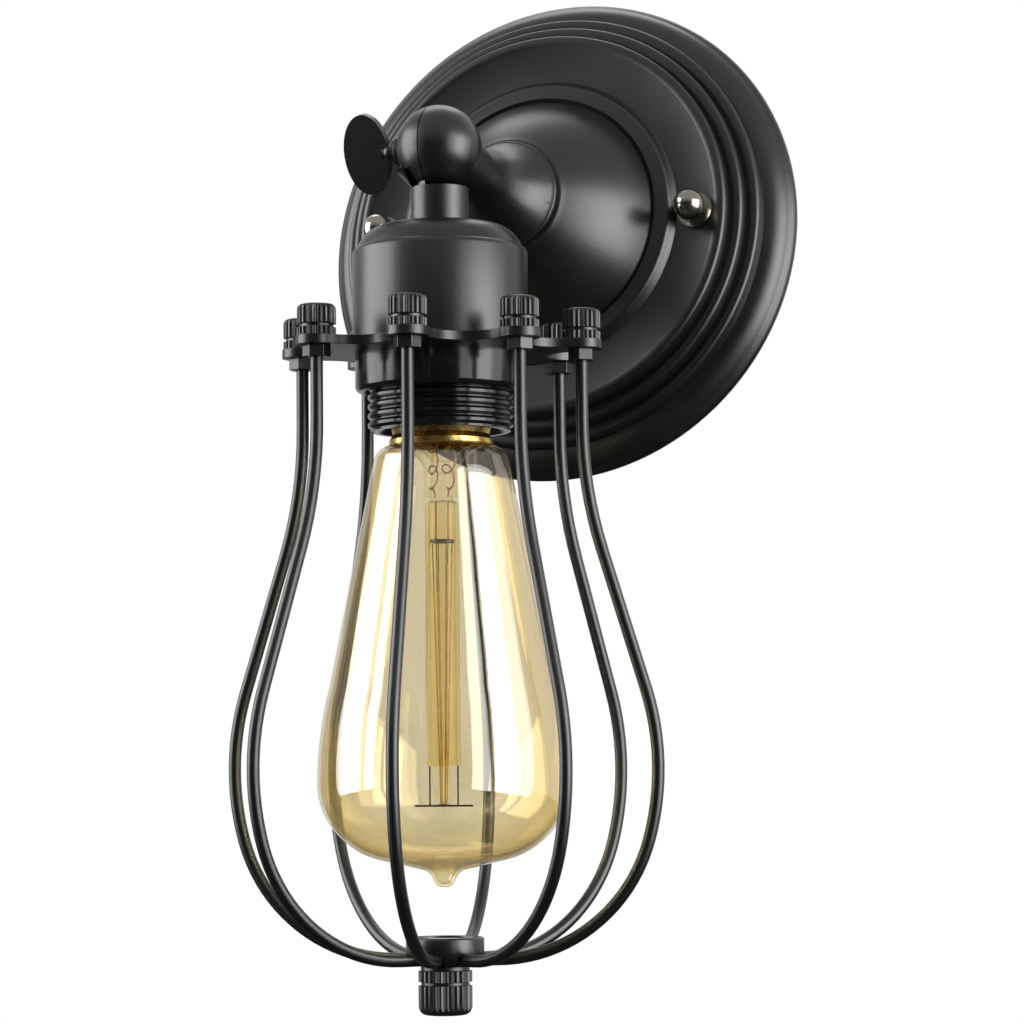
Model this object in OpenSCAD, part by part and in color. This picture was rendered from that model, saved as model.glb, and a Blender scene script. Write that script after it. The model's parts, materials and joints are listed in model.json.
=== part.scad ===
// Cage wall light. A stepped round canopy carries a flared arm that ends in a ball split in two halves.
// A wing screw clamps the halves together and holds the head: a cup over a threaded lampholder, a scalloped
// plate with eight bowed wires, a hub that gathers them, and a long tapered filament bulb.
// The origin is the middle of the canopy's back face, on the wall. +Z is up, and the light stands out toward -Y.

/* [Canopy] */
// Outside diameter of the canopy
canopy_d = 138; // [130:1:150]
// Thickness of the pressed sheet
canopy_wall = 0.9; // [0.7:0.1:1.1]
// Width of the rounded outer band
band_w = 7.2; // [6:0.2:8]
// Height of the outer band's inner edge above the wall
band_h = 8.7; // [7:0.1:10]
// Width of one of the three ridges
ridge_w = 3.6; // [3.2:0.1:4]
// Height that each ridge adds
ridge_rise = 3.6; // [3:0.1:4]
// Diameter of the step ring inside the flat land
step_d = 79.2; // [76:0.2:82]
// Height of the step ring above the land
step_rise = 2.4; // [1.5:0.1:3]
// Diameter of the dome's foot
dome_d = 68.4; // [60:0.2:72]
// Height of the dome's flat top above the wall
dome_h = 43.6; // [38:0.1:48]

/* [Wall bar] */
// Length of the bar behind the canopy
bar_l = 116; // [106:1:122]
// Width of the bar
bar_w = 22; // [18:1:26]
// Thickness of the bar
bar_t = 1.6; // [1.2:0.1:2.5]
// Spacing of the two slots for the box screws
slot_spacing = 70; // [60:1:74]
// Travel of a screw along its slot
slot_travel = 10; // [4:0.5:12]
// Width of a slot
slot_w = 4.8; // [4:0.1:5.5]
// Spacing of the two studs that hold the canopy
stud_spacing = 92; // [90:0.5:93]
// Diameter of a stud
stud_d = 4; // [3.5:0.1:4.5]
// Distance of the ground screw from the bar's middle
ground_x = 17; // [12:0.5:20]
// Diameter of a ball nut's ball
ball_nut_d = 8.4; // [7.6:0.1:9]

/* [Arm and swivel] */
// Distance of the swivel's centre from the wall
reach = 87; // [84:0.5:100]
// Angle at which the head hangs, toward the wall
head_angle = 8; // [0:1:10]
// Diameter of the arm's flared foot
arm_foot_d = 30.8; // [26:0.2:31.4]
// Diameter of the arm beside the ball
arm_d = 12.6; // [11:0.2:13]
// Diameter of the swivel ball
ball_d = 22; // [21:0.5:24]
// Where the seam between the halves lies beside the ball's middle
seam_x = -1.3; // [-2:0.1:-0.6]
// Width of the seam
seam_gap = 0.3; // [0.2:0.05:0.5]
// Diameter of the neck under the ball
neck_d = 15; // [14.6:0.2:16]
// Diameter of the wing screw's shank
clamp_d = 5; // [4:0.1:5.5]
// Length of the wing screw's oval blade
wing_l = 21; // [18:0.5:24]
// Width of the blade, along the screw
wing_w = 12.6; // [10:0.2:14]
// Thickness of the blade
wing_t = 2.2; // [1.6:0.1:2.8]
// Angle at which the blade rests
wing_angle = 28; // [0:1:90]
// Diameter of the threaded tubes that join arm, neck and cup
nipple_d = 10; // [9:0.1:10.4]
// Bore of the threaded tubes
nipple_bore = 7; // [6:0.1:7.6]

/* [Lampholder] */
// Outside diameter of the cup
cup_d = 45; // [44:0.1:47]
// Height of the cup
cup_h = 31; // [28:0.5:34]
// Wall of the cup
cup_wall = 1.2; // [1:0.1:1.6]
// Diameter of the cup's flat top
cup_top_d = 22.4; // [20:0.2:24]
// Depth of the cup's sloping shoulder
shoulder_h = 7.5; // [6:0.1:9]
// Distance from the swivel's centre to the cup's top
neck_l = 20; // [18:0.5:22]
// Diameter over the lampholder's outside thread
holder_d = 37.4; // [36.6:0.1:38]
// Pitch of the outside thread
holder_pitch = 2.4; // [2:0.1:2.8]
// Turns of the outside thread below the ring
holder_turns = 4; // [3:1:5]
// Diameter of the shade ring
ring_d = 43.8; // [42:0.1:46]
// Height of the shade ring
ring_h = 9.8; // [9:0.1:13]

/* [Cage] */
// Number of wires, with a lobe, a knurled nut and a hexagon nut each
wire_count = 8; // [6:1:10]
// Diameter of a wire
wire_d = 3.2; // [2.8:0.1:3.6]
// Turn of the first wire from the front
wire_turn = 11.1; // [0:0.1:22]
// Radius of the circle on which the wires hang
wire_circle = 36.6; // [35:0.1:38]
// Radius of the wires' centre line at the widest place
belly_r = 55; // [50:0.5:60]
// Distance of the widest place below the swivel's centre
belly_z = 159; // [155:1:168]
// Distance of the hub's wires below the swivel's centre
gather_z = 207; // [200:0.5:212]
// Bend radius where the wires begin to spread
waist_bend = 110; // [80:1:120]
// Bend radius of the belly
belly_bend = 67; // [60:1:90]
// Slope of the wires' straight flanks
flank_angle = 17; // [16:0.5:19]
// Angle of the belly's bend below the widest place
tuck_angle = 16; // [8:1:18]
// Thickness of the scalloped plate
plate_t = 2.4; // [1.8:0.1:3]
// Radius of a lobe
lobe_r = 5.2; // [4.8:0.1:5.8]
// Least radius of the plate, between two lobes
scallop_in = 28; // [27:0.5:29]
// Diameter of a knurled nut on the plate
knurl_d = 9.8; // [9:0.1:10.4]
// Height of a knurled nut on the plate
knurl_h = 8; // [7:0.1:9]
// Ribs round a knurled nut
knurl_ribs = 24; // [16:1:28]
// Width of a hexagon nut under the plate, across its flats
hex_af = 6.2; // [5.5:0.1:7]
// Height of a hexagon nut under the plate
hex_h = 3; // [2.4:0.1:4]
// Diameter of the hub's rim
hub_d = 19.8; // [17:0.2:21]
// Height of the hub
hub_h = 7.2; // [6.6:0.1:8.5]
// Diameter of the knurled nut under the hub
foot_d = 13.6; // [12:0.1:15]
// Height of the knurled nut under the hub
foot_h = 11.2; // [10:0.1:13]

/* [Bulb] */
// Largest diameter of the glass
glass_d = 64; // [60:0.5:66]
// Distance of the glass's widest place below the swivel's centre
glass_z = 164; // [158:0.5:166]
// Diameter of the glass at its shoulder
glass_neck_d = 34.4; // [33:0.2:35]
// Wall of the glass
glass_wall = 0.8; // [0.6:0.1:1]
// Diameter over the cap's thread
cap_d = 26; // [25.6:0.1:26.2]
// Outside diameter of the glass sleeve round the filament
sleeve_d = 8.6; // [8:0.1:9]
// Diameter of a filament strand
strand_d = 0.4; // [0.3:0.05:0.6]

/* [Hidden] */
$fn = 96;
// Clearance of a part round its tube, stud or shank, on the radius
fit = 0.05;
// Gap between parts that move past each other
run = 0.3;
// Length and difference in diameter with which straight runs of wire lap into its bends
lap = 0.1;
wire_step = 0.04;
// Depth of the grooves between a knurled nut's ribs
knurl_depth = 0.35;

// Canopy and arm, measured out from the wall
canopy_r = canopy_d / 2;
land_h = band_h + 3 * ridge_rise;
foot_r = arm_foot_d / 2;
arm_l = reach - dome_h;
nut_h = 4;
nut_af = 14;
arm_washer_t = 1;
bore_depth = 7;
tube_out = 8;

// Swivel; its seat is the flat face beside the ball that carries the washer and the wing screw
ball_r = ball_d / 2;
seat_x = ball_r - 0.8;
washer_t = 1.2;
washer_d = 8;
bead_r = 1.9;
bead_z = 2.5;
neck_top = ball_r - 0.4;
cheek_h = 4.8;
tip_gap = 2.5;

// Lampholder, measured down from the swivel's centre
cup_bottom = neck_l + cup_h;
plate_bottom = cup_bottom + plate_t;
ring_bottom = plate_bottom + ring_h;
holder_top = neck_l + cup_wall + 7;
holder_bottom = ring_bottom + holder_turns * holder_pitch + 0.6;
holder_wall = 2.6;
hidden_turns = 5;
thread_depth = 0.9;
shell_bore = cap_d + 4 * run;
shell_wall = 0.45;
terminal_x = 0.28 * holder_d;
terminal_d = 3.3;
terminal_l = 3;

// Bulb, measured down from the swivel's centre
cap_rim = holder_bottom + 3.4;
cap_h = 24;
cap_top = cap_rim - cap_h;
thread_h = 3.6;
stem_bottom = cap_rim + 13.2;
flare_h = 6;
sleeve_top = stem_bottom + 1.2;
sleeve_bottom = glass_z - 5.5;
sleeve_bore = sleeve_d - 1.6;
carrier_z = stem_bottom + 11;
cross_z = glass_z + 4.5;
cross_l = 16;
support_r = 0.25;
disc_h = 0.8;
strands = 6;
filament_r = sleeve_bore / 2 - 1;
strand_foot_r = 0.8;
hook_least = 3;
hook_spread = 11.7;

// Points from p to q along a curve that bows out by s on the right-hand side, with more of them on a deep bow
function bow(p, q, s) =
    let (d = q - p, side = [d[1], -d[0]] / norm(d), n = abs(s) > 0.6 ? 10 : 4)
    s == 0 ? [q] : [for (i = [1 : n]) p + d * i / n + side * 4 * s * (i / n) * (1 - i / n)];

// A curve through [x, y, bow] entries, each bow being that of the piece that ends there
function curve(list) = concat(
    [[list[0][0], list[0][1]]],
    [for (i = [1 : len(list) - 1])
        each bow([list[i - 1][0], list[i - 1][1]], [list[i][0], list[i][1]], list[i][2])]);

// The same curve moved by t to its left-hand side, which is the inside of a pressed sheet
function inset(pts, t) = [
    for (i = [0 : len(pts) - 1])
        let (d = pts[min(i + 1, len(pts) - 1)] - pts[max(i - 1, 0)])
        pts[i] - t * [d[1], -d[0]] / norm(d)];

function reversed(list) = [for (i = [len(list) - 1 : -1 : 0]) list[i]];

// Puts children that stand on z = 0 on the wall, pointing out into the room
module off_wall(h = 0) {
    translate([0, -h, 0]) rotate([90, 0, 0]) children();
}

// Puts children into the head's own frame, at the ball's middle and hanging at its angle
module in_head() {
    translate([0, -reach, 0]) rotate([head_angle, 0, 0]) children();
}

// Copies children to each of the wires
module each_wire() {
    for (i = [0 : wire_count - 1]) rotate([0, 0, wire_turn + i * 360 / wire_count]) children();
}

// A hollow tube or washer standing on z = 0
module sleeve(h, d, bore) {
    difference() {
        cylinder(h = h, d = d);
        translate([0, 0, -1]) cylinder(h = h + 2, d = bore);
    }
}

// A hexagon nut standing on z = 0
module hex_nut(h, across_flats, bore) {
    difference() {
        cylinder(h = h, d = across_flats / cos(30), $fn = 6);
        translate([0, 0, -1]) cylinder(h = h + 2, d = bore);
    }
}

// A star whose tips stand proud of diameter d, so that the ribs it leaves on a body of that size end in lands
module knurl_outline(d, ribs) {
    proud = 0.2;
    polygon([for (i = [0 : 2 * ribs - 1])
        let (r = d / 2 + proud - (i % 2) * (knurl_depth + proud), a = 180 * i / ribs) r * [cos(a), sin(a)]]);
}

// A knurled cap nut standing on z = 0: flange, groove, ribbed body and a crown that rounds off its top
module knurled_nut(h, d, bore, depth, ribs, crown) {
    groove = 0.24 * h;
    groove_depth = 0.7;
    difference() {
        intersection() {
            rotate_extrude() polygon(curve([
                [0, 0, 0], [d / 2, 0, 0], [d / 2, groove, 0], [d / 2 - groove_depth, groove + 0.2, 0],
                [d / 2 - groove_depth, groove + 0.8, 0], [d / 2, groove + 1, 0], [d / 2, h - crown, 0],
                [d / 2 - crown, h - 0.1, 0.28 * crown], [0, h, 0.05]]));
            translate([0, 0, -1]) linear_extrude(h + 2) knurl_outline(d, ribs);
        }
        translate([0, 0, -1]) cylinder(h = depth + 1, d = bore);
    }
}

// The canopy's outside from the rim to the hole in the dome's top
canopy_outside = curve([
    [canopy_r - 0.6, 0, 0],
    [canopy_r, 2, 0.1],
    [canopy_r - 1.3, 4.2, 0.35],
    [canopy_r - band_w, band_h, 0.9],
    for (i = [0 : 2]) each ridge(i),
    [step_d / 2 + 1, land_h, 0],
    [step_d / 2 - 0.4, land_h + step_rise - 0.6, -0.1],
    [step_d / 2 - 1.8, land_h + step_rise, 0.25],
    [dome_d / 2 + 0.9, land_h + step_rise + 0.2, 0],
    [dome_d / 2 + 0.1, land_h + step_rise - 0.5, 0],
    [foot_r + 1.2, dome_h - 0.5, 1.7],
    [foot_r + 0.3, dome_h, 0.1],
    [nipple_d / 2 + 0.2, dome_h, 0]]);

function ridge(i) = let (r = canopy_r - band_w - i * ridge_w, h = band_h + i * ridge_rise) [
    [r - 0.3, h + ridge_rise - 0.8, 0],
    [r - 1.7, h + ridge_rise + 0.3, 0.35],
    [r - ridge_w, h + ridge_rise, 0.1]];

module canopy() {
    inside = inset(canopy_outside, canopy_wall);
    color("#1b1b1c") off_wall() difference() {
        rotate_extrude() polygon(concat(
            canopy_outside,
            reversed([for (i = [2 : len(inside) - 1]) inside[i]]),
            [[canopy_r - 0.9 - canopy_wall, 0]]));
        for (s = [-1, 1]) translate([s * stud_spacing / 2, 0, land_h - 3])
            cylinder(h = 6, d = stud_d + 0.5);
    }
}

module wall_bar() {
    middle_hole_d = 12;
    color("#b9bcbf") off_wall() difference() {
        translate([-bar_l / 2, -bar_w / 2, 0]) cube([bar_l, bar_w, bar_t]);
        for (s = [-1, 1]) {
            translate([s * stud_spacing / 2, 0, -1]) cylinder(h = bar_t + 2, d = stud_d + 2 * fit);
            translate([s * slot_spacing / 2, 0, -1]) linear_extrude(bar_t + 2) slot_outline();
        }
        translate([0, 0, -1]) cylinder(h = bar_t + 2, d = middle_hole_d);
        translate([ground_x, 0, -1]) cylinder(h = bar_t + 2, d = stud_d + 2 * fit);
    }
}

module slot_outline() {
    square([slot_travel, slot_w], center = true);
    for (s = [-1, 1]) translate([s * slot_travel / 2, 0]) circle(d = slot_w);
}

module bar_studs() {
    into_nut = 5.5;
    color("#a8abae") for (s = [-1, 1]) translate([s * stud_spacing / 2, 0, 0])
        off_wall() cylinder(h = land_h + into_nut, d = stud_d);
}

module stud_lock_nuts() {
    color("#a8abae") for (s = [-1, 1]) translate([s * stud_spacing / 2, 0, 0])
        off_wall(bar_t) hex_nut(0.7 * stud_d, 1.75 * stud_d, stud_d + 2 * fit);
}

module ball_nuts() {
    r = ball_nut_d / 2;
    flange_h = 1.3;
    ball_z = flange_h + 0.5 + r;
    color("#4a4640") for (s = [-1, 1]) translate([s * stud_spacing / 2, 0, 0]) off_wall(land_h)
        difference() {
            union() {
                cylinder(h = flange_h, d = ball_nut_d + 1.4);
                cylinder(h = ball_z - r / 2, d = ball_nut_d - 1.8);
                translate([0, 0, ball_z]) sphere(r = r);
            }
            translate([0, 0, -1]) cylinder(h = ball_z + 1, d = stud_d + 2 * fit);
        }
}

module ground_screw() {
    head_h = 2.4;
    head_d = 7.6;
    slot = [10, 1, 2];
    color("#3f7f4a") translate([ground_x, 0, 0]) off_wall() difference() {
        union() {
            cylinder(h = bar_t + 1, d = stud_d);
            translate([0, 0, bar_t]) cylinder(h = head_h, d = head_d);
        }
        translate([-slot[0] / 2, -slot[1] / 2, bar_t + head_h - 0.8]) cube(slot);
    }
}

module arm_tube() {
    color("#8f8a80") off_wall(dome_h - tube_out) sleeve(tube_out + bore_depth, nipple_d, nipple_bore);
}

module arm_lock_nut() {
    color("#8f8a80") off_wall(dome_h - canopy_wall - arm_washer_t - nut_h)
        hex_nut(nut_h, nut_af, nipple_d + 2 * fit);
}

module arm_lock_washer() {
    color("#a8abae") off_wall(dome_h - canopy_wall - arm_washer_t)
        sleeve(arm_washer_t, 17.5, nipple_d + 2 * fit);
}

// The half of space on one side of the seam: side 1 is the arm's, side -1 is the head's
module seam_side(side, size) {
    from = side > 0 ? seam_x + seam_gap / 2 : seam_x - seam_gap / 2 - size;
    translate([from, -size / 2, -size / 2]) cube([size, size, size]);
}

// The arm is one piece with its half of the ball; the wing screw's thread ends short of the far side
module swivel_fixed_half() {
    r = arm_d / 2;
    color("#1b1b1c") translate([0, -reach, 0]) difference() {
        union() {
            intersection() {
                sphere(r = ball_r);
                seam_side(1, 4 * ball_r);
            }
            difference() {
                rotate([-90, 0, 0]) rotate_extrude() polygon(curve([
                    [0, ball_r / 2, 0], [r, ball_r / 2, 0], [r + 0.6, arm_l * 0.45, 0],
                    [foot_r - 0.5, arm_l - 1.6, -3], [foot_r, arm_l - 1.1, 0.1],
                    [foot_r, arm_l, 0], [0, arm_l, 0]]));
                sphere(r = ball_r + run);
            }
            intersection() {
                rotate([-90, 0, 0]) cylinder(h = ball_r + 1, r = r);
                seam_side(1, 4 * ball_r);
            }
        }
        translate([0, arm_l - bore_depth, 0]) rotate([-90, 0, 0])
            cylinder(h = bore_depth + 1, d = nipple_d + 2 * fit);
        translate([-ball_d, 0, 0]) rotate([0, 90, 0]) cylinder(h = ball_d + seat_x - tip_gap + 1, d = clamp_d + 2 * fit);
    }
}

// The neck swells into a cheek under its half of the ball, which is cut off flat for the washer
module swivel_moving_half() {
    color("#1b1b1c") in_head() difference() {
        union() {
            intersection() {
                sphere(r = ball_r);
                seam_side(-1, 4 * ball_r);
            }
            difference() {
                translate([0, 0, -neck_l]) cylinder(h = neck_l - neck_top, d = neck_d);
                sphere(r = ball_r + run);
            }
            intersection() {
                translate([0, 0, -ball_r - 1]) cylinder(h = ball_r, d = neck_d - 3);
                seam_side(-1, 4 * ball_r);
            }
            intersection() {
                translate([0, 0, -neck_top - 0.2])
                    cylinder(h = cheek_h, r1 = neck_d / 2 - 0.9, r2 = neck_d / 2 + cheek_h - 1.2);
                translate([-3 * ball_r - arm_d / 2, -ball_r, -2 * ball_r]) cube([3 * ball_r, ball_d, 2 * ball_d]);
            }
        }
        translate([-seat_x - ball_d, -ball_r, -ball_r]) cube([ball_d, ball_d, ball_d]);
        translate([-ball_d, 0, 0]) rotate([0, 90, 0]) cylinder(h = 2 * ball_d, d = clamp_d + 2 * fit);
        translate([0, 0, -neck_l - 1]) cylinder(h = bore_depth + 1, d = nipple_d + 2 * fit);
    }
}

// Places children that stand on z = 0 on the ball's flat side face, pointing out along the wing screw
module on_seat(h = 0) {
    translate([-seat_x - h, -reach, 0]) rotate([0, -90, 0]) children();
}

module wing_screw() {
    shank = 2 * seat_x + washer_t - tip_gap;
    color("#1b1b1c") {
        on_seat(washer_t) {
            translate([0, 0, -shank]) cylinder(h = shank, d = clamp_d);
            cylinder(h = 0.9, d = clamp_d + 1.6);
            cylinder(h = bead_z + 2, d = 3);
            translate([0, 0, bead_z]) sphere(r = bead_r);
        }
        translate([-seat_x - washer_t - bead_z - wing_w / 2, -reach, 0]) rotate([wing_angle, 0, 0])
            rotate([90, 0, 0]) translate([0, 0, -wing_t / 2]) linear_extrude(wing_t) wing_outline();
    }
}

module wing_outline() {
    polygon([for (a = [0 : 10 : 350]) [wing_w / 2 * cos(a), wing_l / 2 * sin(a)]]);
}

module spring_washer() {
    color("#1b1b1c") on_seat() sleeve(washer_t, washer_d, clamp_d + 0.4);
}

module head_tube() {
    color("#8f8a80") in_head() translate([0, 0, -neck_l - 12]) sleeve(12 + bore_depth, nipple_d, nipple_bore);
}

module cup_lock_nut() {
    color("#8f8a80") in_head() translate([0, 0, -neck_l - cup_wall - nut_h])
        hex_nut(nut_h, nut_af, nipple_d + 2 * fit);
}

module socket_cup() {
    r = cup_d / 2;
    outside = curve([
        [r, -cup_bottom, 0], [r, -neck_l - shoulder_h, 0], [r - 1.2, -neck_l - shoulder_h + 1.4, 0.2],
        [cup_top_d / 2 + 0.8, -neck_l - 0.3, 1.9], [cup_top_d / 2, -neck_l, 0.05], [nipple_d / 2 + 0.15, -neck_l, 0]]);
    color("#1b1b1c") in_head() rotate_extrude() polygon(concat(outside, reversed(inset(outside, cup_wall))));
}

// One flank-to-flank thread ridge after another, as points from the top down
function ridges(r, depth, pitch, top, n) = [
    for (i = [0 : n - 1]) each [
        [r - depth, top - i * pitch],
        [r, top - (i + 0.3) * pitch],
        [r, top - (i + 0.6) * pitch],
        [r - depth, top - (i + 0.9) * pitch]]];

module socket_body() {
    r = holder_d / 2;
    root = r - thread_depth;
    bore = shell_bore / 2 + 0.8;
    color("#101012") in_head() difference() {
        rotate_extrude() polygon(concat(
            [[nipple_d / 2 + fit, -holder_top], [root - 5, -holder_top], [root, -holder_top - 4]],
            ridges(r, thread_depth, holder_pitch, -ring_bottom - 0.3 + hidden_turns * holder_pitch, holder_turns + hidden_turns),
            [[root, -holder_bottom], [root - holder_wall + 1, -holder_bottom],
             [bore, -holder_bottom + 2], [bore, -cap_top + 4], [nipple_d / 2 + fit, -cap_top + 4]]));
        for (s = [-1, 1]) translate([s * terminal_x, 0, -holder_top - terminal_l])
            cylinder(h = terminal_l + 1, d = terminal_d + 2 * fit);
    }
}

module screw_shell() {
    r = shell_bore / 2;
    inner = concat([[r - 0.3, -cap_top + 3]],
        [for (i = [0 : 4]) each [[r + 0.3, -cap_top + 1 - (i + 0.4) * thread_h], [r - 0.3, -cap_top + 1 - (i + 1) * thread_h]]]);
    color("#b59b57") in_head() rotate_extrude() polygon(concat(
        inner,
        [[r + 0.3 + shell_wall, -cap_top + 1 - 5 * thread_h], [r + 0.3 + shell_wall, -cap_top + 3.6],
         [6, -cap_top + 3.6], [6, -cap_top + 3]]));
}

module centre_contact() {
    tongue = [6, 4, 0.5];
    color("#c8a75a") in_head() translate([-tongue[0] / 2, -tongue[1] / 2, -cap_top + run]) {
        cube(tongue);
        cube([tongue[2], tongue[1], 4 - run]);
    }
}

module terminal_screws() {
    color("#c8a75a") in_head() for (s = [-1, 1]) translate([s * terminal_x, 0, -holder_top]) {
        translate([0, 0, -terminal_l]) cylinder(h = terminal_l, d = terminal_d);
        cylinder(h = 1.8, d = 1.7 * terminal_d);
    }
}

module shade_ring() {
    r = ring_d / 2;
    color("#0c0c0e") in_head() rotate_extrude() polygon(curve([
        [holder_d / 2 + 0.1, -plate_bottom, 0], [holder_d / 2 + 0.1, -ring_bottom, 0], [r - 1.2, -ring_bottom, 0],
        [r, -ring_bottom + 1.2, 0.3], [r, -plate_bottom, 0]]));
}

// Scallop that runs tangent into the lobes on both sides and leaves the plate its least radius
half_step = 180 / wire_count;
scallop_r = (pow(scallop_in, 2) + pow(wire_circle, 2) - 2 * scallop_in * wire_circle * cos(half_step)
    - pow(lobe_r, 2)) / (2 * (lobe_r + wire_circle * cos(half_step) - scallop_in));
scallop_circle = scallop_in + scallop_r;

module plate_outline() {
    difference() {
        union() {
            polygon([for (i = [0 : 2 * wire_count - 1])
                (i % 2 == 0 ? wire_circle : scallop_circle) * [cos(i * half_step), sin(i * half_step)]]);
            for (i = [0 : wire_count - 1]) rotate(2 * i * half_step) translate([wire_circle, 0]) circle(r = lobe_r);
        }
        for (i = [0 : wire_count - 1]) rotate((2 * i + 1) * half_step) translate([scallop_circle, 0])
            circle(r = scallop_r + 0.02);
    }
}

module cage_plate() {
    color("#1b1b1c") in_head() difference() {
        rotate([0, 0, wire_turn - 90]) translate([0, 0, -plate_bottom]) linear_extrude(plate_t) plate_outline();
        translate([0, 0, -plate_bottom - 1]) cylinder(h = plate_t + 2, d = holder_d + 0.6);
        each_wire() translate([0, -wire_circle, -plate_bottom - 1]) cylinder(h = plate_t + 2, d = wire_d + 0.3);
    }
}

// The wire's bends, worked out so that straight and curved stretches meet without a kink
flank_top_r = wire_circle + waist_bend * (1 - cos(flank_angle));
flank_end_r = belly_r - belly_bend * (1 - cos(flank_angle));
flank_end_z = -belly_z + belly_bend * sin(flank_angle);
flank_top_z = flank_end_z + (flank_end_r - flank_top_r) / tan(flank_angle);
waist_z = flank_top_z + waist_bend * sin(flank_angle);
tuck_z = -belly_z - belly_bend * sin(tuck_angle);
tuck_r = belly_r - belly_bend * (1 - cos(tuck_angle));
corner_bend = (tuck_z + gather_z) / (1 - sin(tuck_angle));
gather_r = tuck_r - corner_bend * cos(tuck_angle);
wire_end_r = hub_d / 2 - 4.4;
wire_top = -cup_bottom + knurl_h - 2.6;
hub_screw_d = 4;
hub_floor = 2.4;
hub_washer_t = 1.2;

// A bend of the wire about [r, z], from angle a0 to a1, measured from straight out toward down
module bend(r, z, radius, a0, a1, d = wire_d) {
    translate([r, 0, z]) rotate([90, 0, 0]) rotate([0, 0, -a1])
        rotate_extrude(angle = a1 - a0) translate([radius, 0]) circle(d = d, $fn = 32);
}

// A straight run of wire that laps into the bends at both ends, a little thinner than they are
module straight(l) {
    translate([0, 0, -lap]) cylinder(h = l + 2 * lap, d = wire_d - wire_step, $fn = 32);
}

// One wire in the plane of +X and Z
module wire() {
    flank_l = norm([flank_end_r - flank_top_r, flank_top_z - flank_end_z]);
    translate([wire_circle, 0, waist_z]) straight(wire_top - waist_z);
    bend(wire_circle + waist_bend, waist_z, waist_bend, 180 - flank_angle, 180);
    translate([flank_end_r, 0, flank_end_z]) rotate([0, -flank_angle, 0]) straight(flank_l);
    bend(belly_r - belly_bend, -belly_z, belly_bend, -flank_angle, tuck_angle);
    bend(gather_r, -gather_z + corner_bend, corner_bend, tuck_angle - lap * 180 / PI / corner_bend,
         90 + lap * 180 / PI / corner_bend, wire_d - wire_step);
    translate([wire_end_r, 0, -gather_z]) rotate([0, 90, 0])
        cylinder(h = gather_r - wire_end_r, d = wire_d, $fn = 32);
}

module cage_wires() {
    color("#1b1b1c") in_head() each_wire() rotate([0, 0, -90]) wire();
}

module cage_cap_nuts() {
    color("#1b1b1c") in_head() each_wire() translate([0, -wire_circle, -cup_bottom])
        knurled_nut(knurl_h, knurl_d, wire_d + 2 * fit, knurl_h - 2.2, knurl_ribs, 1.4);
}

module cage_hex_nuts() {
    color("#1b1b1c") in_head() each_wire() translate([0, -wire_circle, -plate_bottom - hex_h])
        hex_nut(hex_h, hex_af, wire_d + 2 * fit);
}

hub_bottom = gather_z + wire_d / 2 + 0.1;
washer_bottom = hub_bottom + hub_washer_t;

module hub() {
    r = hub_d / 2;
    hub_bore = hub_screw_d / 2 + 0.1;
    top = -hub_bottom + hub_h;
    color("#1b1b1c") in_head() difference() {
        rotate_extrude() polygon(curve([
            [hub_bore, -hub_bottom, 0], [r - 2.4, -hub_bottom, 0], [r, -hub_bottom + 4.4, 0.7], [r, top - 0.5, 0],
            [r - 0.5, top, 0.1], [r - 1.4, top, 0], [r - 2, top - hub_floor, 0], [hub_bore, top - hub_floor, 0]]));
        each_wire() rotate([90, 0, 0]) {
            translate([0, -gather_z, wire_end_r]) cylinder(h = hub_d, d = wire_d + 0.1, $fn = 32);
            translate([-wire_d / 2 - 0.05, -hub_bottom - 1, wire_end_r]) cube([wire_d + 0.1, hub_bottom - gather_z + 1, hub_d]);
        }
    }
}

module hub_screw() {
    floor_z = -hub_bottom + hub_h - hub_floor;
    color("#6d6a64") in_head() {
        translate([0, 0, -washer_bottom - foot_h + 3]) cylinder(h = washer_bottom + foot_h - 3 + floor_z, d = hub_screw_d);
        translate([0, 0, floor_z]) cylinder(h = 2, d = 8);
    }
}

module hub_washer() {
    color("#1b1b1c") in_head() translate([0, 0, -washer_bottom]) sleeve(hub_washer_t, 12.4, hub_screw_d + 0.2);
}

module hub_nut() {
    color("#1b1b1c") in_head() translate([0, 0, -washer_bottom]) rotate([180, 0, 0])
        knurled_nut(foot_h, foot_d, hub_screw_d + 2 * fit, foot_h - 2.8, knurl_ribs + 4, 2.3);
}

module bulb_cap() {
    r = cap_d / 2;
    color("#b8933f") in_head() rotate_extrude() polygon(concat(
        [[r - 1.2, -cap_rim], [r + 0.3, -cap_rim], [r + 0.3, -cap_rim + 1.2]],
        [for (i = [0 : 4]) each [[r - 0.7, -cap_rim + 2.6 + i * thread_h], [r, -cap_rim + 2.6 + (i + 0.5) * thread_h]]],
        [[r - 0.7, -cap_top - 2.2], [9, -cap_top - 1.6], [9, -cap_top - 2.2], [r - 1.2, -cap_top - 2.8]]));
}

module bulb_insulator() {
    color("#15151a") in_head() translate([0, 0, -cap_top - 2]) cylinder(h = 1.6, r1 = 8.95, r2 = 5.5);
}

module bulb_contact() {
    color("#c4bfae") in_head() translate([0, 0, -cap_top - 0.4]) cylinder(h = 0.4, r1 = 4.6, r2 = 3.8);
}

glass_outside = curve([
    [cap_d / 2 - 0.4, -cap_rim, 0],
    [glass_neck_d / 2, -cap_rim - 3.4, -0.8],
    [glass_d / 2 - 3.2, -glass_z + 26, 0],
    [glass_d / 2, -glass_z, -0.9],
    [glass_d / 2 - 5, -glass_z - 11.5, -1.1],
    [14, -glass_z - 18.6, -1.3],
    [4.6, -glass_z - 20.8, 0],
    [2.6, -glass_z - 23.6, 0.3],
    [0, -glass_z - 25, -0.5]]);

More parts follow.
